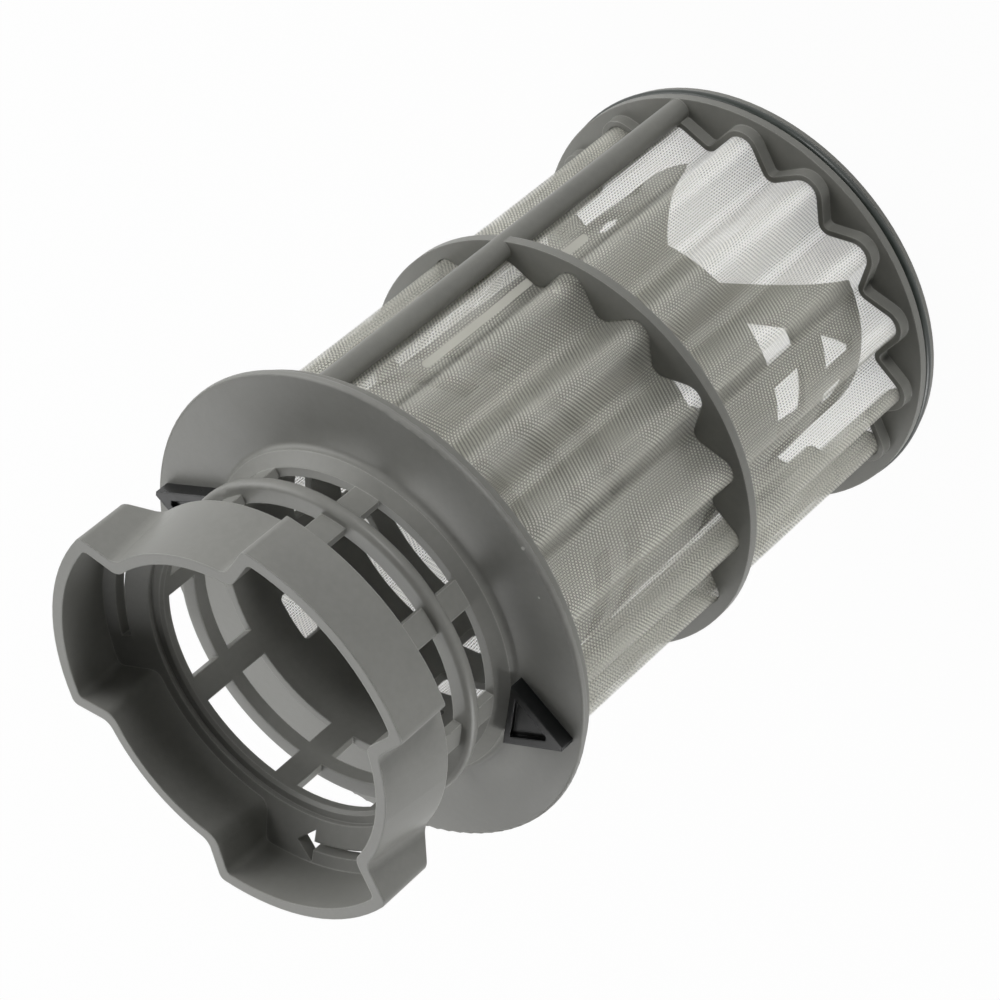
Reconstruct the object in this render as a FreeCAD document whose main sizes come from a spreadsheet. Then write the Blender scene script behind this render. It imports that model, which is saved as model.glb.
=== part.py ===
"""Dishwasher filter: a coarse strainer with a lobed handle that drops into a pleated fine-mesh sleeve.

Millimetres, +Z up. The origin is the centre of the foot of the end ring, on the surface that the filter
stands on, and the handle is at the top. +X runs through the right-hand marker on the flange.
"""
import FreeCAD
import Part
import Sketcher
import math
import os

Vector = FreeCAD.Vector
UP = Vector(0, 0, 1)

SIZES = [
    ("cage_radius", 25.8, "outside of the cage"),
    ("cage_wall", 1.5, "wall of the cage"),
    ("tube_step", 0.2, "how much less than the cage the tube measures below the flange"),
    ("tube_radius", "=cage_radius - tube_step", "outside of the strainer tube below the flange"),
    ("tube_draft", 2.0, "how much less the tube measures at its end"),
    ("tube_wall", 1.3, "wall of the strainer tube at its end"),
    ("tube_foot", 1.0, "end of the tube above the ground"),
    ("tube_play", 0.4, "play of the tube in the top ring"),
    ("seat_gap", 0.3, "play between the flange and the top ring"),
    ("pleat_count", 16, "folds of the mesh"),
    ("pleat_turn", 3.2, "angle of the first ridge"),
    ("mesh_room", 3.5, "valleys of the mesh outside the cage"),
    ("valley_radius", "=cage_radius + mesh_room", "outside of a valley"),
    ("pleat_depth", 4.9, "ridges outside the valleys"),
    ("ridge_radius", "=valley_radius + pleat_depth", "outside of a ridge"),
    ("fold_share", 0.075, "bend of the mesh as a share of the radius of its valleys"),
    ("fold_radius", "=valley_radius * fold_share", "bend of the mesh, ridge and valley"),
    ("mesh_wall", 0.5, "thickness of the folded mesh"),
    ("mesh_gap", 0.05, "play of the mesh in the rings"),
    ("mesh_foot", 0.6, "underside of the mesh above the ground"),
    ("skirt_height", 2.0, "skirt round the foot of the mesh"),
    ("skirt_wall", 1.0, "skirt round the foot of the mesh"),
    ("rod_count", 2, "moulded rods"),
    ("rod_diameter", 3.8, "moulded rods"),
    ("rod_step", 0.5, "circle of the rods outside the ridges"),
    ("rod_circle", "=ridge_radius + rod_step", "radius on which the rods stand"),
    ("rod_pleat", 5, "ridge at which the first rod stands, counted from the first ridge"),
    ("end_ring_step", 2.5, "rim of the end ring outside the ridges"),
    ("end_ring_radius", "=ridge_radius + end_ring_step", "rim of the end ring"),
    ("end_rim_height", 1.4, "rim above the seal groove"),
    ("end_lip_height", 0.8, "lip below the seal groove"),
    ("end_lip_step", 0.2, "how much less than the rim the lip measures"),
    ("end_lip_radius", "=end_ring_radius - end_lip_step", "lip below the seal groove"),
    ("seal_thickness", 1.7, "section of the round seal"),
    ("seal_reach", 0.25, "how far the seal stands out past the rim"),
    ("seal_gap", 0.05, "play of the seal in its groove"),
    ("lower_tier", 45.0, "mesh between end ring and mid ring"),
    ("mid_ring_step", 2.0, "mid ring outside the ridges"),
    ("mid_ring_radius", "=ridge_radius + mid_ring_step", "mid ring"),
    ("mid_ring_height", 1.6, "mid ring"),
    ("upper_tier", 44.9, "mesh between mid ring and top ring"),
    ("top_ring_step", 4.8, "top ring outside the ridges"),
    ("top_ring_radius", "=ridge_radius + top_ring_step", "top ring under the flange"),
    ("top_ring_height", 1.2, "top ring under the flange"),
    ("flange_step", 1.0, "flange outside the top ring"),
    ("flange_radius", "=top_ring_radius + flange_step", "flange"),
    ("flange_height", 1.3, "flange"),
    ("flange_edge", 0.5, "rounding of the flange"),
    ("collar_step", 2.0, "foot of the collar outside the cage"),
    ("collar_radius", "=cage_radius + collar_step", "foot of the collar on the flange"),
    ("collar_rise", 1.0, "straight foot of the collar"),
    ("collar_height", 2.55, "top of the collar above the flange"),
    ("collar_fillet", 0.9, "hollow between collar and flange"),
    ("band_level", 7.8, "underside of the band round the cage, above the flange"),
    ("band_height", 2.35, "band round the cage"),
    ("band_step", 1.8, "band outside the cage"),
    ("band_radius", "=cage_radius + band_step", "band round the cage"),
    ("band_edge", "=band_height * 0.42", "rounded edges of the band"),
    ("rib_count", 8, "ribs of the cage"),
    ("rib_width", 4.2, "ribs of the cage"),
    ("row_count", 6, "windows in each row of the upper part of the tube"),
    ("row_height", 4.2, "height of those windows"),
    ("row_corner", 0.8, "rounded corners of those windows"),
    ("row_1_drop", 5.0, "top of the first of those rows, below the flange face"),
    ("row_1_turn", 46.75, "middle of its first window"),
    ("row_1_span", 18.5, "degrees that a window of it takes up"),
    ("row_2_drop", 12.8, "top of the second row, below the flange face"),
    ("row_2_turn", 57.8, "middle of its first window"),
    ("row_2_span", 35.0, "degrees that a window of it takes up"),
    ("row_3_drop", 23.3, "top of the third row, below the flange face"),
    ("row_3_turn", 58.5, "middle of its first window"),
    ("row_3_span", 48.0, "degrees that a window of it takes up"),
    ("row_4_drop", 31.2, "top of the fourth row, below the flange face"),
    ("row_4_turn", 58.5, "middle of its first window"),
    ("row_4_span", 48.0, "degrees that a window of it takes up"),
    ("row_5_drop", 53.6, "top of the fifth row, below the flange face"),
    ("row_5_turn", 46.75, "middle of its first window"),
    ("row_5_span", 18.5, "degrees that a window of it takes up"),
    ("slat_rows", 2, "rows of windows in the lower part of the tube"),
    ("slat_count", 12, "columns of those windows"),
    ("slat_width", 3.3, "ribs between those windows"),
    ("slat_turn", 27.0, "angle of a rib of the upper of those rows"),
    ("slat_shift", 7.0, "turn of each lower row against the row above"),
    ("slat_window", 8.0, "height of those windows"),
    ("slat_sill", 2.6, "sill of the lowest row above the end of the tube"),
    ("slat_pitch", 13.9, "distance between those rows"),
    ("arch_count", 2, "arches in the end of the tube"),
    ("arch_turn", 81.0, "middle of the first arch"),
    ("arch_height", 23.5, "arches above the end of the tube"),
    ("arch_top", 5.1, "half width of an arch at its top"),
    ("arch_shoulder", 9.4, "how far down from its top an arch has its middle width"),
    ("arch_middle", 10.9, "half width of an arch at that level"),
    ("arch_foot", 16.6, "half width of an arch at the end of the tube"),
    ("arch_frame", 5.6, "plain wall left round an arch"),
    ("lobe_count", 3, "lobes of the handle"),
    ("lobe_turn", 60.6, "middle of the first lobe"),
    ("lobe_step", 8.4, "lobes outside the cage"),
    ("lobe_radius", "=cage_radius + lobe_step", "outside of a lobe"),
    ("lobe_inset", 5.8, "start of the straight sides of a lobe inside the cage"),
    ("lobe_root", "=cage_radius - lobe_inset", "start of the straight sides of a lobe"),
    ("lobe_root_width", 32.4, "width of a lobe at its root"),
    ("lobe_overrun", 1.8, "straight sides of a lobe drawn past its end"),
    ("lobe_end", "=lobe_radius + lobe_overrun", "end of the straight sides of a lobe"),
    ("lobe_flare", 3.5, "how much wider a lobe is at its end"),
    ("lobe_end_width", "=lobe_root_width + lobe_flare", "width of a lobe at its end"),
    ("lobe_corner", 1.3, "outer corners of a lobe"),
    ("neck_rim_step", 2.3, "handle between the lobes outside the cage, at the rim"),
    ("neck_rim", "=cage_radius + neck_rim_step", "handle between the lobes, at the rim"),
    ("neck_back_step", 3.8, "handle between the lobes outside the cage, at its back"),
    ("neck_back", "=cage_radius + neck_back_step", "handle between the lobes, at its back"),
    ("neck_corner", 2.4, "hollow corners between lobe and neck"),
    ("handle_wall", 1.9, "wall of the handle"),
    ("handle_rim", 30.4, "rim above the flange"),
    ("handle_back", 15.8, "back of the handle above the flange, at the cage"),
    ("back_slope", 30.5, "degrees by which the back of the handle rises outwards"),
    ("floor_level", 18.3, "floor of the handle above the flange, at its inner edge"),
    ("floor_step", 0.4, "inner edge of the handle floor outside the cage"),
    ("floor_edge", "=cage_radius + floor_step", "inner edge of the handle floor"),
    ("floor_slope", 27.5, "degrees by which the floor rises outwards"),
    ("step_depth", 0.8, "step down from the floor to the bore"),
    ("bore_edge", 0.5, "slanted edge of the bore"),
    ("arrow_step", 4.2, "middle line of the arrow slots outside the cage"),
    ("arrow_radius", "=cage_radius + arrow_step", "middle line of the arrow slots"),
    ("arrow_width", 1.2, "shaft of the arrow slots"),
    ("arrow_tail", 19.0, "degrees from the middle of the lobe to the tail"),
    ("arrow_neck", 12.5, "degrees from the middle of the lobe to the arrow head"),
    ("arrow_tip", 18.5, "degrees from the middle of the lobe to the tip"),
    ("arrow_head", 4.4, "width of the arrow head"),
    ("marker_step", 0.6, "inner side of a marker outside the collar"),
    ("marker_base", "=collar_radius + marker_step", "inner side of a marker"),
    ("marker_width", 12.0, "inner side of a marker"),
    ("marker_margin", 1.6, "tip of a marker inside the flange"),
    ("marker_tip", "=flange_radius - marker_margin", "tip of a marker"),
    ("marker_height", 2.5, "height of a marker"),
    ("marker_rim", 1.0, "raised rim of a marker"),
    ("marker_recess", 0.7, "depth inside that rim"),
    ("marker_round", 0.4, "rounded corners of a marker"),
    ("overlap", 0.5, "how far pieces of one moulding reach into each other"),
    ("past", 1.0, "how far cutting tools reach past what they cut"),
]

doc = FreeCAD.newDocument("DishwasherFilter")
sheet = doc.addObject("Spreadsheet::Sheet", "sizes")
for row, (alias, value, note) in enumerate(SIZES, 1):
    sheet.setAlias(f"A{row}", alias)
    sheet.set(f"A{row}", str(value))
    sheet.set(f"B{row}", note)
doc.recompute()

# Levels above the ground, as expressions of the sheet's values
END_TOP = ("(sizes.end_lip_height + sizes.seal_thickness + 2 * sizes.seal_gap"
           " + sizes.end_rim_height)")
MID_LEVEL = f"({END_TOP} + sizes.lower_tier)"
TOP_LEVEL = f"({MID_LEVEL} + sizes.mid_ring_height + sizes.upper_tier)"
FLANGE_LEVEL = f"({TOP_LEVEL} + sizes.top_ring_height + sizes.seat_gap)"
FACE = f"({FLANGE_LEVEL} + sizes.flange_height)"
CAGE_INSIDE = "(sizes.cage_radius - sizes.cage_wall)"
TUBE_END = "(sizes.tube_radius - sizes.tube_draft)"


def size(name):
    """A value of the sheet as a number."""
    return float(sheet.get(name))


def work_out(expression):
    """An expression of the sheet's values as a number."""
    return float(sheet.evalExpression(expression))


def bind(thing, **expressions):
    """Ties properties of a document object to expressions."""
    for name, expression in expressions.items():
        thing.setExpression(name, expression)
    return thing


def place(thing, level="0", turn="0", reach="0"):
    """Puts a document object at a level, turned about Z and moved out along its own X axis."""
    thing.Placement = FreeCAD.Placement(Vector(), FreeCAD.Rotation(UP, 1))
    thing.setExpression("Placement.Base.z", level)
    thing.setExpression("Placement.Rotation.Angle", turn)
    if reach != "0":
        thing.setExpression("Placement.Base.x", f"({reach}) * cos(({turn}) * 1 deg)")
        thing.setExpression("Placement.Base.y", f"({reach}) * sin(({turn}) * 1 deg)")
    return thing


def cylinder(name, radius, height, level="0", angle="360", turn="0", reach="0"):
    """A cylinder, or a slice of one, about Z."""
    thing = doc.addObject("Part::Cylinder", name)
    bind(thing, Radius=radius, Height=height, Angle=angle)
    return place(thing, level, turn, reach)


def cone(name, bottom, top, height, level):
    """A cone frustum about Z."""
    thing = doc.addObject("Part::Cone", name)
    bind(thing, Radius1=bottom, Radius2=top, Height=height)
    return place(thing, level)


def fuse(name, things):
    """The union of document objects."""
    thing = doc.addObject("Part::MultiFuse", name)
    thing.Shapes = things
    thing.Refine = True
    return thing


def cut(name, base, tool):
    """One document object less another."""
    thing = doc.addObject("Part::Cut", name)
    thing.Base = base
    thing.Tool = tool
    thing.Refine = True
    return thing


def common(name, first, second):
    """What two document objects share."""
    thing = doc.addObject("Part::Common", name)
    thing.Base = first
    thing.Tool = second
    thing.Refine = True
    return thing


def feature(name, shape):
    """A document object around a shape that was made from the sheet's values."""
    thing = doc.addObject("Part::Feature", name)
    thing.Shape = shape
    thing.Placement = FreeCAD.Placement()
    return thing


def origin_plane(body, role):
    """An origin plane of a body, by its role."""
    return next(plane for plane in body.Origin.OriginFeatures if plane.Role == role)


def outline(body, name, plane, points):
    """A closed sketch of straight lines on an origin plane, each corner tied to two expressions."""
    sketch = body.newObject("Sketcher::SketchObject", name)
    sketch.AttachmentSupport = [(origin_plane(body, plane), "")]
    sketch.MapMode = "FlatFace"
    corners = [Vector(work_out(x), work_out(y), 0) for x, y in points]
    for start, end in zip(corners, corners[1:] + corners[:1]):
        sketch.addGeometry(Part.LineSegment(start, end), False)
    count = len(corners)
    for index in range(count):
        sketch.addConstraint(Sketcher.Constraint("Coincident", index, 2, (index + 1) % count, 1))
    for index, (x, y) in enumerate(points):
        for kind, value, expression in (("DistanceX", corners[index].x, x),
                                        ("DistanceY", corners[index].y, y)):
            number = sketch.addConstraint(Sketcher.Constraint(kind, -1, 1, index, 1, value))
            sketch.setExpression(f"Constraints[{number}]", expression)
    return sketch


def ring_edges(shape, radius, level):
    """Names of the circular edges of a turned shape at one radius and level."""
    names = []
    for number, edge in enumerate(shape.Edges, 1):
        curve = edge.Curve
        if not isinstance(curve, Part.Circle):
            continue
        if abs(curve.Radius - radius) < 1e-4 and abs(curve.Center.z - level) < 1e-4:
            names.append(f"Edge{number}")
    return names


def round_off(body, name, base, edges, radius):
    """A fillet on named edges of a body's feature."""
    fillet = body.newObject("PartDesign::Fillet", name)
    fillet.Base = (base, edges)
    fillet.setExpression("Radius", radius)
    doc.recompute()
    return fillet


def turned(name, points):
    """A body of revolution about Z, from an outline of radius and level."""
    body = doc.addObject("PartDesign::Body", name)
    sketch = outline(body, name + "_profile", "XZ_Plane", points)
    turn = body.newObject("PartDesign::Revolution", name + "_turned")
    turn.Profile = sketch
    turn.ReferenceAxis = (sketch, ["V_Axis"])
    turn.Angle = 360
    doc.recompute()
    return body, turn


def straight_edges(shape, radius, spread):
    """Numbers of the upright straight edges of a shape near one radius."""
    numbers = []
    for number, edge in enumerate(shape.Edges, 1):
        start, end = edge.Vertexes[0].Point, edge.Vertexes[-1].Point
        upright = math.hypot(end.x - start.x, end.y - start.y) < 1e-4
        if upright and abs(math.hypot(start.x, start.y) - radius) < spread:
            numbers.append(number)
    return numbers


def neck_edges(shape):
    """Numbers of the edges along which a flat side meets the tapered neck."""
    numbers = []
    for number, edge in enumerate(shape.Edges, 1):
        kinds = {type(face.Surface).__name__ for face in shape.ancestorsOfType(edge, Part.Face)}
        level = abs(edge.Vertexes[0].Point.z - edge.Vertexes[-1].Point.z) < size("past")
        if kinds == {"Plane", "Cone"} and not level:
            numbers.append(number)
    return numbers


def filleted(name, base, edges, radius):
    """A document object with some of its edges rounded to a size of the sheet."""
    thing = doc.addObject("Part::Fillet", name)
    thing.Base = base
    thing.Edges = [(number, size(radius), size(radius)) for number in edges]
    return thing


def even_turn(count, index, first="0"):
    """The angle of one of several evenly spaced copies, as an expression."""
    return f"({first} + {index} * 360 / {count})"


# Pleated mesh

def rod_ridges():
    """Numbers of the ridges that a rod takes the place of."""
    count = int(size("pleat_count"))
    rods = int(size("rod_count"))
    return [(int(size("rod_pleat")) + index * count // rods) % count for index in range(rods)]


def fold_line(offset):
    """The closed line of the folded mesh, moved outwards by offset from its outer face.

    Every bend is an arc about a centre on the fold circle, and straight flanks join the arcs.
    """
    count = int(size("pleat_count"))
    bend = size("fold_radius")
    half = size("mesh_wall") / 2
    rod_face = size("rod_circle") - size("rod_diameter") / 2 - size("mesh_gap")
    arcs = []
    for index in range(2 * count):
        ridge = index % 2 == 0
        angle = math.radians(size("pleat_turn") + index * 180 / count)
        if ridge:
            crest = size("ridge_radius")
            if index // 2 in rod_ridges():
                crest = rod_face
            centre, radius = crest - half - bend, bend + half + offset
        else:
            centre, radius = size("valley_radius") - half + bend, bend - half - offset
        arcs.append((Vector(centre * math.cos(angle), centre * math.sin(angle), 0), radius, ridge))
    ends = []
    for (first, first_radius, ridge), (second, second_radius, _) in zip(arcs, arcs[1:] + arcs[:1]):
        line = second - first
        side = -1 if ridge else 1
        tilt = math.asin((first_radius + second_radius) / line.Length)
        across = math.atan2(line.y, line.x) + side * (math.pi / 2 - tilt)
        normal = Vector(math.cos(across), math.sin(across), 0)
        ends.append((first + normal * first_radius, second - normal * second_radius))
    edges = []
    for index, (centre, radius, ridge) in enumerate(arcs):
        arrive, leave = ends[index - 1][1], ends[index][0]
        outward = Vector(centre).normalize() * (radius if ridge else -radius)
        edges.append(Part.Arc(arrive, centre + outward, leave).toShape())
        edges.append(Part.LineSegment(leave, ends[index][1]).toShape())
    return Part.Wire(edges)


def pleated_block(offset, bottom, top):
    """A solid block with the pleated outline between two levels."""
    face = Part.Face(fold_line(offset))
    face.translate(Vector(0, 0, bottom))
    return face.extrude(Vector(0, 0, top - bottom))


def micro_mesh():
    """The sleeve of folded mesh, open at both ends."""
    foot, head = size("mesh_foot"), work_out(TOP_LEVEL)
    outside = pleated_block(0, foot, head)
    inside = pleated_block(-size("mesh_wall"), foot, head)
    return feature("micro_mesh", outside.cut(inside))


# Rings and rods that carry the mesh

def filter_frame():
    """Top ring, mid ring and end ring with the two rods between them, moulded as one."""
    blank = fuse("frame_blank", [
        cylinder("end_lip", "sizes.end_lip_radius", END_TOP),
        cylinder("end_rim", "sizes.end_ring_radius", "sizes.end_rim_height",
                 f"{END_TOP} - sizes.end_rim_height"),
        cylinder("mid_plate", "sizes.mid_ring_radius", "sizes.mid_ring_height", MID_LEVEL),
        cylinder("top_plate", "sizes.top_ring_radius", "sizes.top_ring_height", TOP_LEVEL),
        feature("foot_skirt", pleated_block(size("mesh_gap") + size("skirt_wall"), 0,
                                            work_out(END_TOP) + size("skirt_height"))),
    ] + rods())
    hollow = feature("mesh_hollow", pleated_block(size("mesh_gap"), -size("past"),
                                                  work_out(TOP_LEVEL)))
    tube_hole = cylinder("tube_hole", "sizes.tube_radius + sizes.tube_play",
                         "sizes.top_ring_height + 2 * sizes.past", f"{TOP_LEVEL} - sizes.past")
    return cut("filter_frame", blank, fuse("frame_hollow", [hollow, tube_hole, seal_groove()]))


def rods():
    """The rods between end ring and top ring."""
    count = int(size("rod_count"))
    first = "(sizes.pleat_turn + sizes.rod_pleat * 360 / sizes.pleat_count)"
    return [cylinder(f"rod_{index + 1}", "sizes.rod_diameter / 2",
                     f"{TOP_LEVEL} - {END_TOP} + 2 * sizes.overlap", f"{END_TOP} - sizes.overlap",
                     turn=even_turn("sizes.rod_count", index, first), reach="sizes.rod_circle")
            for index in range(count)]


SEAL_CIRCLE = ("(sizes.end_ring_radius + sizes.seal_reach - sizes.seal_thickness / 2)")
SEAL_LEVEL = ("(sizes.end_lip_height + sizes.seal_gap + sizes.seal_thickness / 2)")


def seal_groove():
    """What the groove for the seal takes out of the end ring."""
    height = "sizes.seal_thickness + 2 * sizes.seal_gap"
    outer = cylinder("groove_outside", "sizes.end_ring_radius + sizes.past", height,
                     "sizes.end_lip_height")
    inner = cylinder("groove_bottom", f"{SEAL_CIRCLE} - sizes.seal_thickness / 2 - sizes.seal_gap",
                     height, "sizes.end_lip_height")
    return cut("seal_groove", outer, inner)


def end_seal():
    """The round seal in the groove of the end ring."""
    seal = doc.addObject("Part::Torus", "end_seal")
    bind(seal, Radius1=SEAL_CIRCLE, Radius2="sizes.seal_thickness / 2")
    return place(seal, SEAL_LEVEL)


# Coarse strainer

def strainer_shell():
    """Tube, flange, collar, cage and band, turned as one profile without windows."""
    radius = "sizes.{}_radius".format
    up = (FACE + " + {}").format
    body, turn = turned("strainer_shell", [
        (f"{TUBE_END} - sizes.tube_wall", "sizes.tube_foot"),
        (TUBE_END, "sizes.tube_foot"),
        (radius("tube"), FLANGE_LEVEL),
        (radius("flange"), FLANGE_LEVEL),
        (radius("flange"), FACE),
        (radius("collar"), FACE),
        (radius("collar"), up("sizes.collar_rise")),
        (radius("cage"), up("sizes.collar_height")),
        (radius("cage"), up("sizes.band_level")),
        (radius("band"), up("sizes.band_level")),
        (radius("band"), up("sizes.band_level + sizes.band_height")),
        (radius("cage"), up("sizes.band_level + sizes.band_height")),
        (radius("cage"), up("sizes.floor_level - sizes.step_depth")),
        (CAGE_INSIDE, up("sizes.floor_level - sizes.step_depth")),
        (CAGE_INSIDE, FLANGE_LEVEL),
    ])
    face, under = work_out(FACE), work_out(FLANGE_LEVEL)
    rim = [ring_edges(turn.Shape, size("flange_radius"), level) for level in (face, under)]
    turn = round_off(body, "flange_edges", turn, rim[0] + rim[1], "sizes.flange_edge")
    hollow = ring_edges(turn.Shape, size("collar_radius"), face)
    turn = round_off(body, "collar_hollow", turn, hollow,
                     "min(sizes.collar_fillet; 0.95 * sizes.collar_rise)")
    low = face + size("band_level")
    bands = [ring_edges(turn.Shape, size("band_radius"), level)
             for level in (low, low + size("band_height"))]
    round_off(body, "band_edges", turn, bands[0] + bands[1], "sizes.band_edge")
    return body


def windows(name, count, rib, first, sill, height):
    """A row of openings between evenly spaced ribs, as slices that reach past the wall."""
    opening = f"(360 / {count} - {rib} / {CAGE_INSIDE} * 180 / pi)"
    middle = f"({first} + 180 / {count})"
    return [cylinder(f"{name}_{index + 1}", "sizes.cage_radius + sizes.past", height, sill, opening,
                     f"{even_turn(count, index, middle)} - {opening} / 2")
            for index in range(int(work_out(count)))]


def cage_windows():
    """The two rows of openings of the cage."""
    ribs = ("sizes.rib_count", "sizes.rib_width", "0")
    lower = windows("low_window", *ribs, f"{FACE} + sizes.collar_height",
                    "sizes.band_level - sizes.collar_height")
    over_band = "sizes.band_level + sizes.band_height"
    upper = windows("high_window", *ribs, f"{FACE} + {over_band}",
                    f"sizes.handle_back - ({over_band})")
    return lower + upper


def rounded_window(width, height, reach):
    """A block with rounded corners that lies along +X, its top side at level 0."""
    half, corner = width / 2, size("row_corner")
    block = Part.makeBox(reach, width, height, Vector(0, -half, -height))
    along = [edge for edge in block.Edges
             if abs(edge.Vertexes[0].Point.x - edge.Vertexes[-1].Point.x) > size("past")]
    return block.makeFillet(corner, along)


def row_windows():
    """The rows of rounded windows in the upper part of the tube."""
    blocks = []
    count = int(size("row_count"))
    rows = [alias.removesuffix("_drop") for alias, _, _ in SIZES if alias.endswith("_drop")]
    for row in rows:
        half = math.radians(size(f"{row}_span")) / 2
        width = 2 * work_out(CAGE_INSIDE) * math.sin(half)
        block = rounded_window(width, size("row_height"), size("cage_radius") + size("past"))
        block.translate(Vector(0, 0, work_out(FACE) - size(f"{row}_drop")))
        for index in range(count):
            copy = block.copy()
            copy.rotate(Vector(), UP, size(f"{row}_turn") + index * 360 / count)
            blocks.append(copy)
    return feature("row_openings", Part.makeCompound(blocks))


def slat_windows():
    """The rows of openings in the lower part of the tube, clear of the arches."""
    rows = []
    count = int(size("slat_rows"))
    for index in range(count):
        turn = f"(sizes.slat_turn + {count - 1 - index} * sizes.slat_shift)"
        sill = f"sizes.tube_foot + sizes.slat_sill + {index} * sizes.slat_pitch"
        rows += windows(f"slat_{index + 1}", "sizes.slat_count", "sizes.slat_width", turn, sill,
                        "sizes.slat_window")
    return cut("slat_openings", fuse("slat_rows", rows), arches("arch_frames", "sizes.arch_frame"))


def arches(name, margin):
    """Blocks with the outline of the arches in the end of the tube, each widened by a margin."""
    extra = work_out(margin)
    foot = size("tube_foot") - size("past")
    top = size("tube_foot") + size("arch_height")
    middle = top - size("arch_shoulder")
    reach = size("cage_radius") + 2 * size("past")
    points = [(size("arch_top") + extra / 2, top + extra), (size("arch_middle") + extra, middle),
              (size("arch_foot") + extra, foot)]
    right = [Vector(0, x, z) for x, z in points]
    left = [Vector(0, -x, z) for x, z in points]
    edges = [Part.Arc(*right).toShape(), Part.makeLine(right[2], left[2]),
             Part.Arc(*reversed(left)).toShape(), Part.makeLine(left[0], right[0])]
    block = Part.Face(Part.Wire(edges)).extrude(Vector(reach, 0, 0))
    blocks = []
    count = int(size("arch_count"))
    for index in range(count):
        copy = block.copy()
        copy.rotate(Vector(), UP, size("arch_turn") + index * 360 / count)
        blocks.append(copy)
    return feature(name, Part.makeCompound(blocks))


def lobed_block(name, inset, bottom, height):
    """The outline of the handle as a solid: lobes about a neck that narrows towards the rim."""
    body = doc.addObject("PartDesign::Body", name + "_lobes")
    root = f"(sizes.lobe_root_width / 2 - {inset})"
    end = f"(sizes.lobe_end_width / 2 - {inset})"
    sketch = outline(body, name + "_lobe", "XY_Plane", [
        ("sizes.lobe_root", f"-{root}"), ("sizes.lobe_end", f"-{end}"),
        ("sizes.lobe_end", end), ("sizes.lobe_root", root)])
    pad = body.newObject("PartDesign::Pad", name + "_pad")
    pad.Profile = sketch
    pad.setExpression("Length", height)
    doc.recompute()
    pattern = body.newObject("PartDesign::PolarPattern", name + "_pattern")
    pattern.Originals = [pad]
    pattern.Axis = (sketch, ["N_Axis"])
    pattern.Angle = 360
    pattern.setExpression("Occurrences", "sizes.lobe_count")
    body.Tip = pattern
    place(body, bottom, "sizes.lobe_turn")
    disc = cylinder(name + "_disc", f"sizes.lobe_radius - {inset}", height, bottom)
    lobes = common(name + "_ends", body, disc)
    neck = cone(name + "_neck", f"sizes.neck_back - {inset}", f"sizes.neck_rim - {inset}", height,
                bottom)
    doc.recompute()
    limit = size("lobe_radius") - work_out(inset)
    corners = filleted(name + "_corners", lobes,
                       straight_edges(lobes.Shape, limit, size("overlap")), "lobe_corner")
    star = fuse(name + "_star", [corners, neck])
    doc.recompute()
    return filleted(name, star, neck_edges(star.Shape), "neck_corner")


def handle():
    """The lobed cup of the handle, with its sloping floor and back."""
    back = f"({FACE} + sizes.handle_back)"
    depth = "(sizes.handle_rim - sizes.handle_back)"
    blank = lobed_block("handle_outside", "0", back, depth)
    slope = cone("back_slope", "sizes.cage_radius",
                 f"sizes.cage_radius + {depth} / tan(sizes.back_slope * 1 deg)", depth, back)
    inside = lobed_block("handle_inside", "sizes.handle_wall", back, f"{depth} + sizes.past")
    floor = f"({FACE} + sizes.floor_level)"
    rise = "(sizes.handle_rim - sizes.floor_level + 2 * sizes.past)"
    hollow = cone("floor_slope", "sizes.floor_edge",
                  f"sizes.floor_edge + {rise} / tan(sizes.floor_slope * 1 deg)", rise, floor)
    return cut("handle", common("handle_blank", blank, slope),
               common("handle_hollow", inside, hollow))


def bore_cut():
    """The bore through the handle floor, with the step round it and its slanted edge."""
    ledge = f"({FACE} + sizes.floor_level - sizes.step_depth)"
    step = cylinder("bore_step", "sizes.floor_edge", "sizes.step_depth + sizes.past", ledge)
    bore = cylinder("bore", CAGE_INSIDE, "sizes.floor_level - sizes.collar_height",
                    f"{FACE} + sizes.collar_height")
    edge = cone("bore_slant", CAGE_INSIDE, f"{CAGE_INSIDE} + sizes.bore_edge", "sizes.bore_edge",
                f"{ledge} - sizes.bore_edge")
    return [step, bore, edge]


def arrow(turn):
    """One curved arrow, as a block that cuts through the sloping floor."""
    middle = size("arrow_radius")
    half = size("arrow_width") / 2

    def spot(radius, angle):
        direction = math.radians(turn + angle)
        return Vector(radius * math.cos(direction), radius * math.sin(direction), 0)

    tail, neck, tip = size("arrow_tail"), -size("arrow_neck"), -size("arrow_tip")
    centre = (tail + neck) / 2
    wing = size("arrow_head") / 2
    edges = [
        Part.Arc(spot(middle + half, neck), spot(middle + half, centre),
                 spot(middle + half, tail)).toShape(),
        Part.makeLine(spot(middle + half, tail), spot(middle - half, tail)),
        Part.Arc(spot(middle - half, tail), spot(middle - half, centre),
                 spot(middle - half, neck)).toShape(),
        Part.makeLine(spot(middle - half, neck), spot(middle - wing, neck)),
        Part.makeLine(spot(middle - wing, neck), spot(middle, tip)),
        Part.makeLine(spot(middle, tip), spot(middle + wing, neck)),
        Part.makeLine(spot(middle + wing, neck), spot(middle + half, neck)),
    ]
    block = Part.Face(Part.Wire(edges)).extrude(Vector(0, 0, size("handle_rim")))
    block.translate(Vector(0, 0, work_out(FACE) + size("band_level")))
    return block


def arrow_slots():
    """The arrows cut through the floor of the lobes, one to each."""
    count = int(size("lobe_count"))
    turns = [size("lobe_turn") + index * 360 / count for index in range(count)]
    return feature("arrow_slots", Part.makeCompound([arrow(turn) for turn in turns]))


def coarse_strainer():
    """Handle, cage, collar, flange and tube, moulded as one."""
    solid = fuse("strainer_solid", [strainer_shell(), handle()])
    openings = fuse("strainer_openings", cage_windows() + bore_cut()
                    + [row_windows(), slat_windows(), arches("arch_openings", "0"), arrow_slots()])
    return cut("coarse_strainer", solid, openings)


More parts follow.
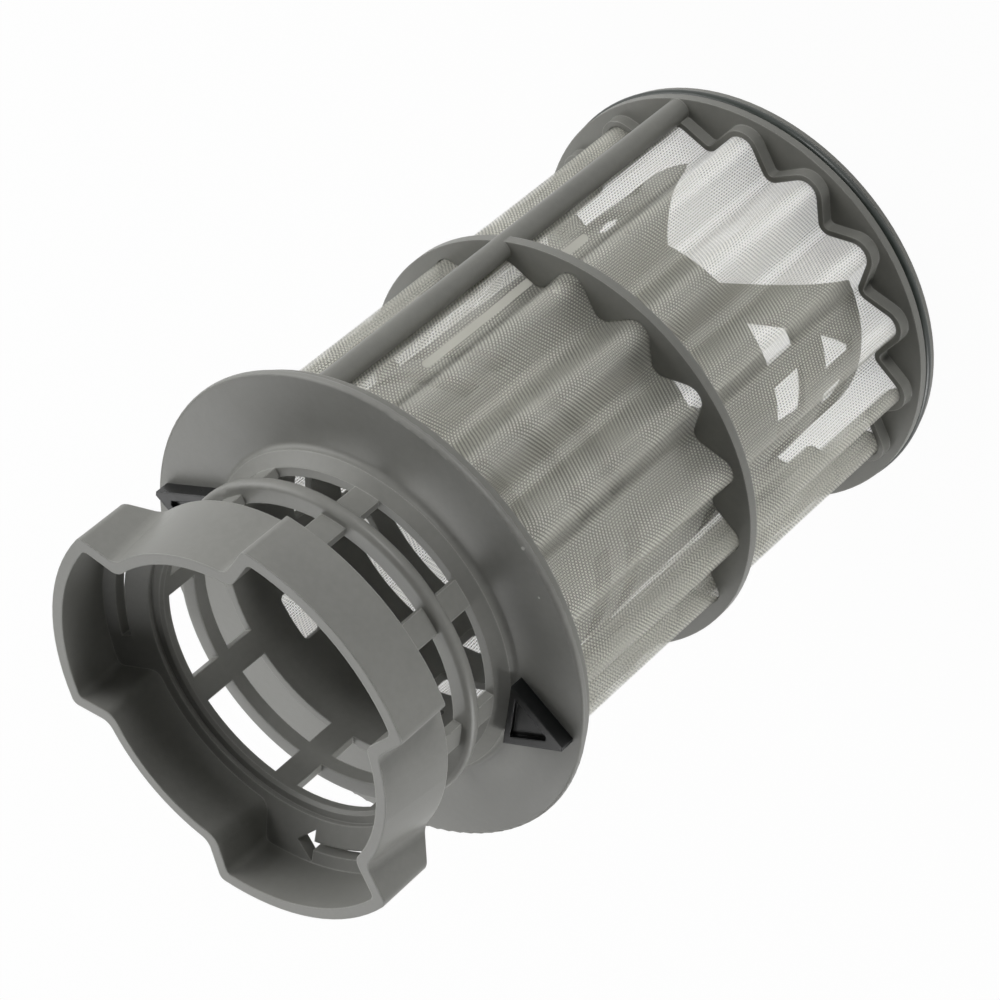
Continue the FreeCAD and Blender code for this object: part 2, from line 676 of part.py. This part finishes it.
def marker(name, turn):
    """A raised triangle on the flange that points outwards, with a shallow recess."""
    body = doc.addObject("PartDesign::Body", name)
    base, tip = "sizes.marker_base", "sizes.marker_tip"
    half = "sizes.marker_width / 2"
    blank = outline(body, name + "_outline", "XY_Plane", [
        (base, f"-{half}"), (tip, "-sizes.marker_round"), (tip, "sizes.marker_round"),
        (base, half)])
    pad = body.newObject("PartDesign::Pad", name + "_pad")
    pad.Profile = blank
    pad.setExpression("Length", "sizes.marker_height")
    rim = "sizes.marker_rim"
    inner_tip = f"{tip} - 3 * {rim}"
    inner = outline(body, name + "_inner", "XY_Plane", [
        (f"{base} + {rim}", f"-({half} - 2 * {rim})"), (inner_tip, "-sizes.marker_round"),
        (inner_tip, "sizes.marker_round"), (f"{base} + {rim}", f"{half} - 2 * {rim}")])
    inner.setExpression("AttachmentOffset.Base.z", "sizes.marker_height")
    pocket = body.newObject("PartDesign::Pocket", name + "_recess")
    pocket.Profile = inner
    pocket.setExpression("Length", "sizes.marker_recess")
    body.Tip = pocket
    return place(body, FACE, turn)


def check(things):
    """Stops the build if any object failed or a sub-part isn't a valid solid."""
    for thing in doc.Objects:
        faults = [state for state in thing.State if state in ("Invalid", "Error")]
        if faults:
            raise RuntimeError(f"{thing.Name}: {faults}")
    for thing in things:
        shape = thing.Shape
        if shape.isNull() or not shape.isValid() or not shape.Solids:
            raise RuntimeError(f"{thing.Label}: no valid solid")


def build():
    """Makes the sub-parts, labels them and writes one file for each."""
    parts = {
        "coarse_strainer": coarse_strainer(),
        "marker_right": marker("marker_right", "0"),
        "marker_left": marker("marker_left", "180"),
        "filter_frame": filter_frame(),
        "micro_mesh": micro_mesh(),
        "end_seal": end_seal(),
    }
    doc.recompute()
    for label, thing in parts.items():
        thing.Label = label
    check(parts.values())
    os.makedirs("parts", exist_ok=True)
    for label, thing in parts.items():
        shape = thing.Shape
        print(f"{label}: {len(shape.Solids)} solid, {shape.Volume / 1000:.2f} cm3")
        shape.exportStep(f"parts/{label}.step")


build()
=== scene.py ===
import math
import random

import bpy
from mathutils import Matrix, Vector


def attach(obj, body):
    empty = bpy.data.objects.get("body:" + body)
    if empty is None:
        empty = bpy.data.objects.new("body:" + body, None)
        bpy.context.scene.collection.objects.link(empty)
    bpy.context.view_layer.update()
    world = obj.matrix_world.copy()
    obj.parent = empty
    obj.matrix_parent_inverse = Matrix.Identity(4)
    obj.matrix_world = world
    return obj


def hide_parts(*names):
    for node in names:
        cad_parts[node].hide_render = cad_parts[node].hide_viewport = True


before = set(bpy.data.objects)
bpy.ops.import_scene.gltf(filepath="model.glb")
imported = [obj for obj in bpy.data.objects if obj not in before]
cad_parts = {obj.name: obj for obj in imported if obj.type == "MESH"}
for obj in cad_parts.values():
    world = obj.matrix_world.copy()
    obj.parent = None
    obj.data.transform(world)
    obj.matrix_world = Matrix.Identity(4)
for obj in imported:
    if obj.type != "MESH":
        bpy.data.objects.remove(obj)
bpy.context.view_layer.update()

# Camera, in the part's frame
CAMERA_PLACE = (0.2327, 0.4224, 0.4383)
CAMERA_RIGHT = (0.7905, 0.0979, -0.6040)
CAMERA_UP = (-0.4789, 0.7133, -0.5110)
LENS = 144
SENSOR = 36
CLIP_START = 0.01

# Mesh sleeve, in metres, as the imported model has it
PLEATS = 16
BENDS = 2 * PLEATS
FIRST_RIDGE = math.radians(3.2)
RIDGE = 0.0342
VALLEY = 0.0293
FOLD = 0.0021975
WALL = 0.0005
ROD_RIDGES = (5, 13)
ROD_CIRCLE = 0.0347
ROD_RADIUS = 0.0019
ROD_PLAY = 0.00005
ROD_FACE = ROD_CIRCLE - ROD_RADIUS - ROD_PLAY
MESH_LEVELS = ((0.0006, 0.0060), (0.0060, 0.0490), (0.0490, 0.0506), (0.0506, 0.0955))

# Cloth: its outer face inside that of the sleeve, its thickness and the fineness of its mesh
INSET = 0.00006
CLOTH = 0.00014
ARC_STEPS = 8
FLANK_STEPS = 4
ROW_HEIGHT = 0.002

# Unevenness of the cloth: how far it moves, the share and rhythm of the wave in that movement,
# how much wave and phase differ from bend to bend, and the rows up to which a tier is held still
SEED = 7
SWAY = 0.00016
WAVE_SHARE = 0.6
WAVE_RATE = 95
RATE_SPREAD = 0.3
PHASE_SPREAD = 3
HELD_ROWS = 3

# Plain weave: distance between wires along the axis and round the sleeve, how much of it is hole,
# how far the wires stray, and its colour, metal, roughness, strength of its painted shade and
# highlight, and relief
ROW_PITCH = 0.000342
WARP_PITCH = 0.00042
HOLE = 0.95
STRAY = 0.0003
WIRE_COLOUR = (0.60, 0.595, 0.535)
WIRE_METAL = 0.55
WIRE_ROUGH = 0.38
WEAVE_PAINTED_SHADE = 0.5
WIRE_RELIEF = 0.00005

# Smooth strip over the joint of the cloth: its place along the folded line, its width, its ends
# and how much rougher it is than the cloth
SEAM_PLACE = 0.2551
SEAM_WIDTH = 0.0013
SEAM_ENDS = (0.0360, 0.0766)
SEAM_ROUGH = 0.1

# Small pale moulding marks on the flange: place and radius, and how much lighter they are
MARKS = (((0.0293, 0.0230, 0.0983), 0.00024), ((0.0255, 0.0302, 0.0983), 0.00036))
MARK_CORE = 0.6
MARK_LIGHT = 1.2

# Moulded plastic: scales of its noises, rounding of its edges, how sharply a surface has to bend to
# get a painted highlight, depth of its grain and its gloss
FLOW_SCALE = 55.0
GRAIN_SCALE = 900.0
PIT_SCALE = 3800.0
EDGE_ROUND = 0.00035
EDGE_SAMPLES = 4
EDGE_BEND = (0.80, 0.99)
GRAIN_DEPTH = 0.00004
PLASTIC_IOR = 1.5
PLASTIC_SPECULAR = 0.3

# Rubber: scales of its noises and depth of its grain
BLOOM_SCALE = 160.0
RUBBER_SCALE = 2200.0
RUBBER_DEPTH = 0.00003

# Between which values the factor of a Noise node mostly lies
NOISE_SPAN = (0.3, 0.7)

# Floor and world, as the camera sees them and as they light the object
FLOOR_SIDE = 4.0
FLOOR_LEVEL = -0.0001
FLOOR_COLOUR = (0.4, 0.4, 0.4)
FLOOR_GLOW = 1.02
FLOOR_SHOWN = 0.95
WORLD_LIGHT = 0.07
WORLD_SHOWN = 1.0
WHITE = (1, 1, 1, 1)

# Lamps: place, side and power. All face the middle of the object.
LAMPS = {
    "key": ((-0.85, 0.25, 0.50), 0.8, 8.0),
    "side": ((0.78, -0.50, 0.05), 0.4, 8.0),
    "back": ((-0.20, -0.65, 0.70), 0.8, 5.4),
    "front": ((0.15, 0.90, 0.04), 0.4, 6.3),
}
MIDDLE = (0, 0, 0.07)


# Helpers

def new_object(name, data):
    """A new object in the scene."""
    made = bpy.data.objects.new(name, data)
    bpy.context.scene.collection.objects.link(made)
    return made


def plug(tree, socket, value):
    """Gives a socket a value, or a link from a socket of another node."""
    if isinstance(value, bpy.types.NodeSocket):
        tree.links.new(value, socket)
    else:
        socket.default_value = value


def add(tree, kind, inputs=None, **settings):
    """A new node with its settings and inputs."""
    made = tree.nodes.new(kind)
    for name, value in settings.items():
        setattr(made, name, value)
    for key, value in (inputs or {}).items():
        plug(tree, made.inputs[key], value)
    return made


def feed(tree, node, **inputs):
    """Fills inputs of a node by name, with _ for a space."""
    for key, value in inputs.items():
        plug(tree, node.inputs[key.replace("_", " ")], value)


def calc(tree, operation, first, second=0.0, third=0.0):
    """The result of a Math node."""
    made = add(tree, "ShaderNodeMath", {0: first, 1: second, 2: third}, operation=operation)
    return made.outputs[0]


def compare(tree, operation, first, second):
    """The number that a Vector Math node makes of two vectors."""
    made = add(tree, "ShaderNodeVectorMath", {0: first, 1: second}, operation=operation)
    return made.outputs["Value"]


def noise(tree, where, scale, detail=3.0, roughness=0.5):
    """The factor of a Noise node."""
    made = add(tree, "ShaderNodeTexNoise", {"Vector": where, "Scale": scale, "Detail": detail,
                                            "Roughness": roughness})
    return made.outputs["Fac"]


def spread(tree, value, low, high, start=0.0, end=1.0):
    """A value between start and end mapped to low and high, and held there."""
    made = add(tree, "ShaderNodeMapRange", {"Value": value, "From Min": start, "From Max": end,
                                            "To Min": low, "To Max": high})
    return made.outputs["Result"]


def shaded(tree, colour, share):
    """A colour times a share that varies over the surface."""
    made = add(tree, "ShaderNodeVectorMath", {0: colour, "Scale": share}, operation="SCALE")
    return made.outputs["Vector"]


def bumped(tree, height, strength, depth, **more):
    """The normal of a Bump node."""
    made = add(tree, "ShaderNodeBump", {"Height": height, "Strength": strength, "Distance": depth,
                                        **more})
    return made.outputs[0]


def object_place(tree):
    """The place on the object, in its own coordinates."""
    return add(tree, "ShaderNodeTexCoord").outputs["Object"]


def material(name, kind="ShaderNodeBsdfPrincipled"):
    """A new material with its tree and its shader."""
    made = bpy.data.materials.new(name)
    made.use_nodes = True
    tree = made.node_tree
    tree.nodes.clear()
    shader = add(tree, kind)
    add(tree, "ShaderNodeOutputMaterial", {"Surface": shader.outputs[0]})
    return made, tree, shader


# Materials

def marks(tree, place):
    """How strongly a small moulding mark shows at a place."""
    shown = 0.0
    for centre, radius in MARKS:
        away = compare(tree, "DISTANCE", place, centre)
        shown = calc(tree, "MAXIMUM", shown,
                     spread(tree, away, 1.0, 0.0, radius * MARK_CORE, radius))
    return shown


def plastic(name, colour, rough, grain, edge_highlight_gain, marked=False):
    """Satin moulded plastic with flow marks, a fine grain and softened edges lightened by a painted
    highlight.
    """
    made, tree, shader = material(name)
    place = object_place(tree)
    broad = noise(tree, place, FLOW_SCALE, 2.0, 0.55)
    fine = noise(tree, place, GRAIN_SCALE, 1.0)
    pits = noise(tree, place, PIT_SCALE, 1.0)
    bevel = add(tree, "ShaderNodeBevel", {"Radius": EDGE_ROUND}, samples=EDGE_SAMPLES)
    round_normal = bevel.outputs["Normal"]
    flat_normal = add(tree, "ShaderNodeNewGeometry").outputs["Normal"]
    bend = compare(tree, "DOT_PRODUCT", round_normal, flat_normal)
    # Painted highlight: where the rounded normal bends away from the flat one, the colour is made
    # lighter
    edge_highlight = spread(tree, bend, 1.0, 0.0, *EDGE_BEND)
    share = calc(tree, "ADD", spread(tree, broad, 0.93, 1.07, *NOISE_SPAN),
                 spread(tree, fine, -0.025, 0.025, *NOISE_SPAN))
    share = calc(tree, "MULTIPLY_ADD", edge_highlight, edge_highlight_gain, share)
    if marked:
        share = calc(tree, "MULTIPLY_ADD", marks(tree, place), MARK_LIGHT, share)
    rough_here = calc(tree, "ADD", spread(tree, broad, rough - 0.05, rough + 0.05, 0.35, 0.65),
                      spread(tree, fine, -0.03, 0.03, *NOISE_SPAN))
    relief = calc(tree, "MULTIPLY_ADD", fine, 0.5, pits)
    feed(tree, shader, Base_Color=shaded(tree, colour, share), Roughness=rough_here,
         Normal=bumped(tree, relief, grain, GRAIN_DEPTH, Normal=round_normal),
         IOR=PLASTIC_IOR, Specular_IOR_Level=PLASTIC_SPECULAR)
    return made


def rubber(name, colour):
    """Dark smooth rubber with a faint bloom."""
    made, tree, shader = material(name)
    place = object_place(tree)
    bloom = noise(tree, place, BLOOM_SCALE, 4.0, 0.6)
    fine = noise(tree, place, RUBBER_SCALE)
    feed(tree, shader,
         Base_Color=shaded(tree, colour, spread(tree, bloom, 0.8, 1.4, *NOISE_SPAN)),
         Roughness=spread(tree, bloom, 0.30, 0.48, *NOISE_SPAN),
         Normal=bumped(tree, fine, 0.2, RUBBER_DEPTH))
    return made


def seam_mask(tree, across, up):
    """1 on the strip over the joint of the cloth, which has round ends, and 0 beside it."""
    middle, half = sum(SEAM_ENDS) / 2, (SEAM_ENDS[1] - SEAM_ENDS[0]) / 2
    beside = calc(tree, "ABSOLUTE", calc(tree, "SUBTRACT", across, SEAM_PLACE))
    along = calc(tree, "ABSOLUTE", calc(tree, "SUBTRACT", up, middle))
    beyond = calc(tree, "MAXIMUM", calc(tree, "SUBTRACT", along, half - SEAM_WIDTH / 2), 0.0)
    squared = calc(tree, "MULTIPLY_ADD", beside, beside, calc(tree, "MULTIPLY", beyond, beyond))
    return calc(tree, "LESS_THAN", calc(tree, "SQRT", squared), SEAM_WIDTH / 2)


def wire_wave(tree, distance, cloth, scale, pitch):
    """A wave with its crests on the wires, which stray a little. It changes sign between them."""
    stray = spread(tree, noise(tree, cloth, scale, 0.0), -STRAY, STRAY)
    turns = calc(tree, "MULTIPLY", calc(tree, "ADD", distance, stray), math.pi / pitch)
    return calc(tree, "SINE", turns)


def woven(name):
    """Fine plain weave with open holes, a painted highlight where the rows pass over and painted
    shade between them, and its smooth seam.
    """
    made, tree, shader = material(name)
    cloth = add(tree, "ShaderNodeAttribute", attribute_name="cloth").outputs["Vector"]
    across, up, _ = add(tree, "ShaderNodeSeparateXYZ", {0: cloth}).outputs
    seam = seam_mask(tree, across, up)
    open_cloth = calc(tree, "SUBTRACT", 1.0, seam)
    row = wire_wave(tree, up, cloth, 110.0, ROW_PITCH)
    warp = wire_wave(tree, across, cloth, 85.0, WARP_PITCH)
    crown = calc(tree, "MAXIMUM", calc(tree, "ABSOLUTE", row), calc(tree, "ABSOLUTE", warp))
    wire = calc(tree, "GREATER_THAN", crown, HOLE)
    crossing = calc(tree, "MULTIPLY", calc(tree, "MULTIPLY", row, warp), open_cloth)
    strength = spread(tree, noise(tree, cloth, 110.0, 1.0), 0.25, 1.0, 0.35, 0.58)
    tone = noise(tree, cloth, 60.0, 1.0)
    # The crossings' height is painted into the colour: painted shade in the dips, painted highlight
    # on the crowns
    share = calc(tree, "MULTIPLY_ADD", calc(tree, "MULTIPLY", crossing, strength), WEAVE_PAINTED_SHADE,
                 spread(tree, tone, 0.93, 1.07, *NOISE_SPAN))
    feed(tree, shader, Base_Color=shaded(tree, WIRE_COLOUR, share),
         Metallic=calc(tree, "MULTIPLY", open_cloth, WIRE_METAL),
         Roughness=calc(tree, "MULTIPLY_ADD", seam, SEAM_ROUGH, WIRE_ROUGH),
         Normal=bumped(tree, crossing, 0.5, WIRE_RELIEF),
         Alpha=calc(tree, "MAXIMUM", wire, seam))
    return made


def floor_material():
    """A floor that shows as white with the object's soft shadow on it."""
    made, tree, shader = material("floor", "ShaderNodeMixShader")
    grain = spread(tree, noise(tree, object_place(tree), 40.0), 0.99, 1.01)
    diffuse = add(tree, "ShaderNodeBsdfDiffuse", {"Color": shaded(tree, FLOOR_COLOUR, grain)})
    shine = add(tree, "ShaderNodeEmission", {"Color": WHITE, "Strength": FLOOR_GLOW})
    path = add(tree, "ShaderNodeLightPath").outputs
    seen = calc(tree, "MAXIMUM", path["Is Camera Ray"], path["Is Glossy Ray"])
    seen = calc(tree, "MAXIMUM", seen, path["Is Transmission Ray"])
    mixed = (calc(tree, "MULTIPLY", seen, FLOOR_SHOWN), diffuse.outputs[0], shine.outputs[0])
    for socket, value in zip(shader.inputs, mixed):
        plug(tree, socket, value)
    return made


def wear(node, finish):
    """Gives every material slot of a CAD node one material."""
    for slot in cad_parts[node].material_slots:
        slot.link = "OBJECT"
        slot.material = finish


# Mesh sleeve

def bend_arcs(depth):
    """Centre, radius and kind of each bend of the folded cloth, at a depth in the sleeve."""
    arcs = []
    for index in range(BENDS):
        angle = FIRST_RIDGE + index * math.pi / PLEATS
        ridge = index % 2 == 0
        if ridge:
            crest = ROD_FACE if index // 2 in ROD_RIDGES else RIDGE
            centre, radius = crest - WALL / 2 - FOLD, FOLD + WALL / 2 - depth
        else:
            centre, radius = VALLEY - WALL / 2 + FOLD, FOLD - WALL / 2 + depth
        arcs.append((Vector((centre * math.cos(angle), centre * math.sin(angle))), radius, ridge))
    return arcs


def flanks(arcs):
    """Start and end of the straight flank from each bend to the next, which touches both arcs."""
    found = []
    for (first, first_radius, ridge), (second, second_radius, _) in zip(arcs, arcs[1:] + arcs[:1]):
        line = second - first
        side = -1 if ridge else 1
        tilt = math.asin((first_radius + second_radius) / line.length)
        across = math.atan2(line.y, line.x) + side * (math.pi / 2 - tilt)
        normal = Vector((math.cos(across), math.sin(across)))
        found.append((first + normal * first_radius, second - normal * second_radius))
    return found


def fold_path(depth):
    """The closed line of the folded cloth, as points with the number of their bend."""
    arcs = bend_arcs(depth)
    joins = flanks(arcs)
    points = []
    for step in range(BENDS):
        index = (2 * ROD_RIDGES[0] + step) % BENDS
        centre, radius, _ = arcs[index]
        arrive, leave = joins[index - 1][1], joins[index][0]
        first = math.atan2(arrive.y - centre.y, arrive.x - centre.x)
        last = math.atan2(leave.y - centre.y, leave.x - centre.x)
        turn = (last - first + math.pi) % (2 * math.pi) - math.pi
        for part in range(ARC_STEPS + 1):
            angle = first + turn * part / ARC_STEPS
            points.append((centre + radius * Vector((math.cos(angle), math.sin(angle))), index))
        for part in range(1, FLANK_STEPS):
            points.append((leave.lerp(joins[index][1], part / FLANK_STEPS), index))
    return points


def cloth_rows():
    """Levels of the cloth's rows of corners, with how freely each moves between the rings."""
    rows = []
    for low, high in MESH_LEVELS:
        count = max(1, round((high - low) / ROW_HEIGHT))
        for row in range(count):
            slack = math.sin(math.pi * row / count) if count > HELD_ROWS else 0.0
            rows.append((low + (high - low) * row / count, slack))
    return rows + [(MESH_LEVELS[-1][1], 0.0)]


def bend_sways():
    """Random amounts for each bend. The bends behind the rods stay still."""
    random.seed(SEED)
    sways = [[random.uniform(-1, 1) for _ in range(4)] for _ in range(BENDS)]
    for ridge in ROD_RIDGES:
        sways[2 * ridge] = [0, 0, 0, 0]
    return sways


def swayed(point, level, slack, sway):
    """A point of the fold line at a level, moved sideways and inwards as far as its slack lets."""
    radial, sideways, phase, beat = sway
    out = point.normalized()
    side = Vector((-out.y, out.x))
    wave = math.sin(level * WAVE_RATE * (1 + RATE_SPREAD * beat) + PHASE_SPREAD * phase)
    moved = point + slack * SWAY * (side * (sideways + WAVE_SHARE * wave) - out * abs(radial))
    return moved.x, moved.y, level


def cloth_mesh(name):
    """A thin closed cloth along the fold, with the distance round it and up it as an attribute."""
    sways, levels = bend_sways(), cloth_rows()
    paths = [fold_path(INSET), fold_path(INSET + CLOTH)]
    columns, rows = len(paths[0]), len(levels)
    travelled = [0.0]
    for (here, _), (there, _) in zip(paths[0], paths[0][1:] + paths[0][:1]):
        travelled.append(travelled[-1] + (there - here).length)
    vertices = [swayed(point, level, slack, sways[bend])
                for path in paths for point, bend in path for level, slack in levels]
    faces, cloth = [], []

    def face(*corners):
        """Adds a face from corners given as layer, column and row."""
        faces.append([(layer * columns + column % columns) * rows + row
                      for layer, column, row in corners])
        cloth.extend((travelled[column], levels[row][0], 0.0) for _, column, row in corners)

    for left in range(columns):
        right, top = left + 1, rows - 1
        for row in range(top):
            face((0, left, row), (0, right, row), (0, right, row + 1), (0, left, row + 1))
            face((1, left, row), (1, left, row + 1), (1, right, row + 1), (1, right, row))
        face((0, left, 0), (1, left, 0), (1, right, 0), (0, right, 0))
        face((0, left, top), (0, right, top), (1, right, top), (1, left, top))
    mesh = bpy.data.meshes.new(name)
    mesh.from_pydata(vertices, [], faces)
    mesh.shade_smooth()
    attribute = mesh.attributes.new("cloth", "FLOAT_VECTOR", "CORNER")
    attribute.data.foreach_set("vector", [value for point in cloth for value in point])
    return mesh


def sleeve():
    """The pleated sleeve, held by the rings and slightly uneven between them."""
    mesh = cloth_mesh("mesh_sleeve")
    piece = new_object("mesh_sleeve", mesh)
    mesh.materials.append(woven("woven_mesh"))
    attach(piece, "micro_filter")
    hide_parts("micro_mesh")


# Surroundings

def floor():
    """The floor that the filter stands on."""
    mesh = bpy.data.meshes.new("floor")
    corners = [(x * FLOOR_SIDE, y * FLOOR_SIDE, FLOOR_LEVEL)
               for x, y in ((-1, -1), (1, -1), (1, 1), (-1, 1))]
    mesh.from_pydata(corners, [], [(0, 1, 2, 3)])
    mesh.materials.append(floor_material())
    new_object("floor", mesh)


def sky():
    """A world that shows as white and gives little light."""
    world = bpy.data.worlds.new("studio")
    bpy.context.scene.world = world
    world.use_nodes = True
    tree = world.node_tree
    tree.nodes.clear()
    seen = add(tree, "ShaderNodeLightPath").outputs["Is Camera Ray"]
    strength = spread(tree, seen, WORLD_LIGHT, WORLD_SHOWN)
    back = add(tree, "ShaderNodeBackground", {"Color": WHITE, "Strength": strength})
    add(tree, "ShaderNodeOutputWorld", {"Surface": back.outputs[0]})


def area_light(name, place, size, power):
    """A square lamp that faces the middle of the object."""
    data = bpy.data.lights.new(name, "AREA")
    data.shape = "SQUARE"
    data.size = size
    data.energy = power
    lamp = new_object(name, data)
    lamp.location = place
    towards = Vector(MIDDLE) - Vector(place)
    lamp.rotation_euler = towards.to_track_quat("-Z", "Y").to_euler()


def camera():
    """The camera at the photograph's place, with its turn."""
    data = bpy.data.cameras.new("camera")
    data.lens = LENS
    data.sensor_width = SENSOR
    data.clip_start = CLIP_START
    right, up = Vector(CAMERA_RIGHT).normalized(), Vector(CAMERA_UP)
    back = right.cross(up).normalized()
    up = back.cross(right)
    turn = Matrix((right, up, back)).transposed()
    made = new_object("camera", data)
    made.matrix_world = Matrix.Translation(CAMERA_PLACE) @ turn.to_4x4()
    bpy.context.scene.camera = made


camera()
floor()
sky()
for name, lamp in LAMPS.items():
    area_light(name, *lamp)
sleeve()
# The edge values set how strongly a painted highlight lightens each plastic's edges
wear("coarse_strainer", plastic("grey_plastic", (0.232, 0.232, 0.216), rough=0.40, grain=0.25,
                                edge_highlight_gain=0.9, marked=True))
wear("filter_frame", plastic("frame_plastic", (0.205, 0.205, 0.188), rough=0.40, grain=0.25,
                             edge_highlight_gain=0.8))
black = plastic("black_plastic", (0.005, 0.0055, 0.0055), rough=0.34, grain=0.2, edge_highlight_gain=3.0)
wear("marker_right", black)
wear("marker_left", black)
wear("end_seal", rubber("seal_rubber", (0.022, 0.028, 0.024)))

bpy.context.scene.view_settings.view_transform = "Standard"
